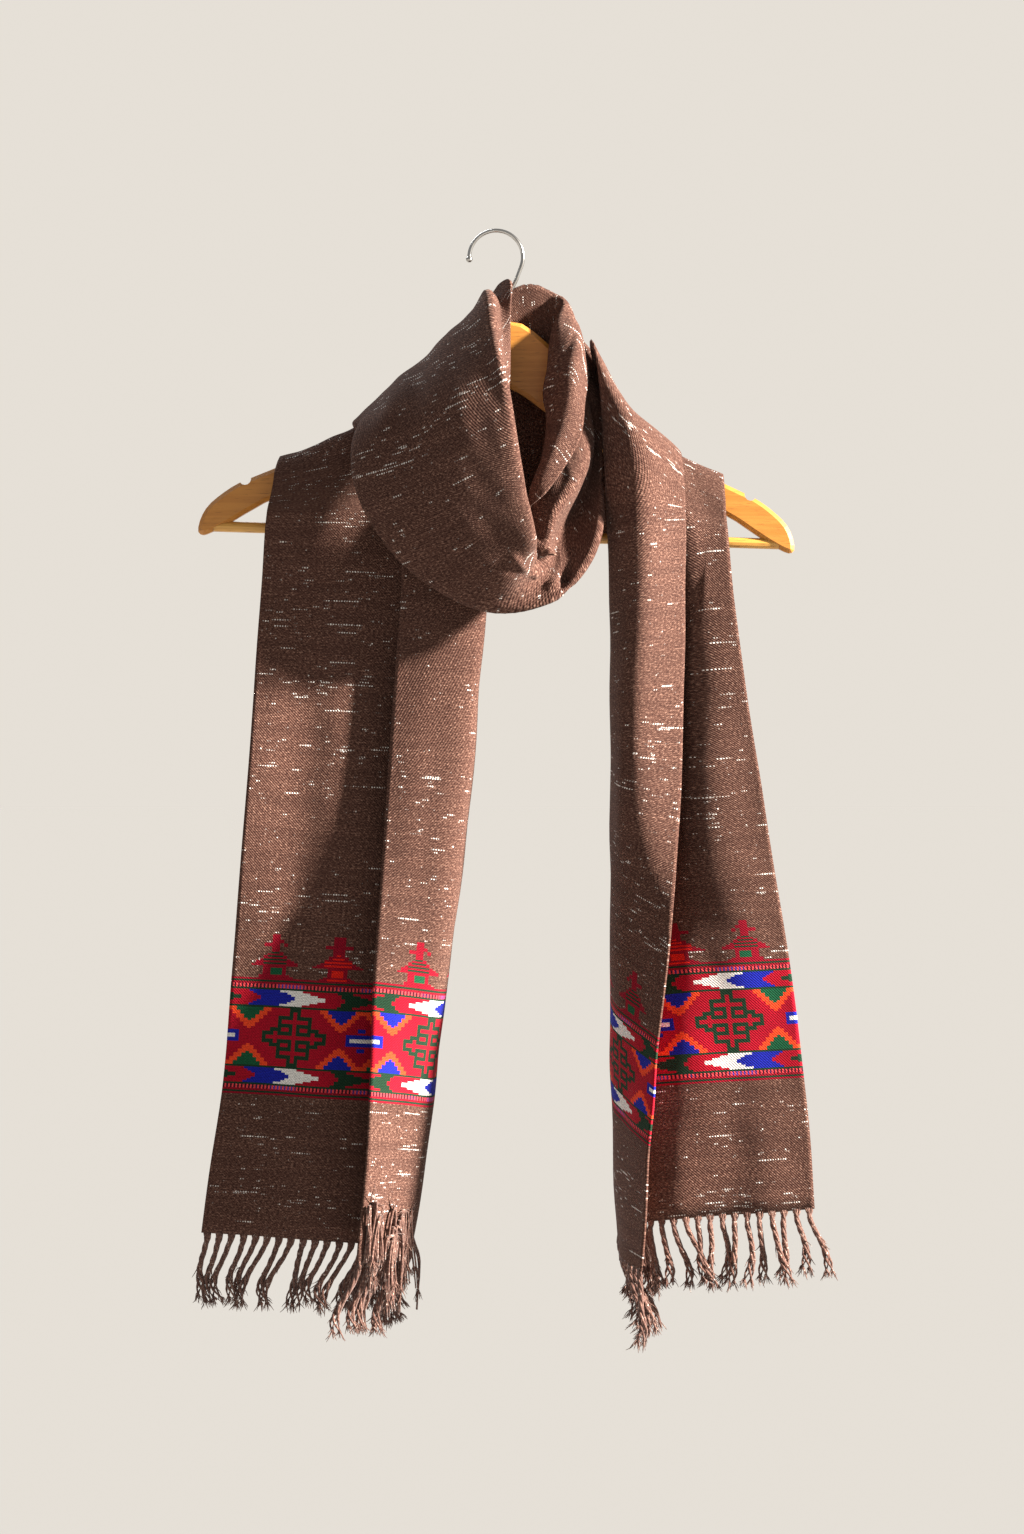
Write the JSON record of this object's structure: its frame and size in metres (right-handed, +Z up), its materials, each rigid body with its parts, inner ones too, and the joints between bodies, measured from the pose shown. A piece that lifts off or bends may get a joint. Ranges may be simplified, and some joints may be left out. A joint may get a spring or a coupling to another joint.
{
  "type": "scarf on a coat hanger",
  "caption": "Long handwoven wool scarf with slubs, a patterned band and tassels at each end, wound once round the hook of a wooden coat hanger.",
  "frame": {"origin": "inside top of the hanger's hook, where a rail or nail holds it up", "axes": "+Z up, +X to the viewer's right along the hanger, the front of the scarf faces -Y"},
  "size_m": [0.4614, 0.1317, 0.8257],
  "materials": {
    "wool": "matte",
    "yarn": "matte",
    "wood": "satin",
    "steel": "polished"
  },
  "bodies": {
    "root": {"tail_left": "wool", "back_wrap_inner": "wool", "collar_right": "wool", "cowl_left": "wool", "back_wrap_outer": "wool", "tail_right": "wool", "fringe_left": "yarn", "fringe_right": "yarn", "hanger_body": "wood", "trouser_bar": "wood", "hook": "steel"}
  },
  "joints": []
}
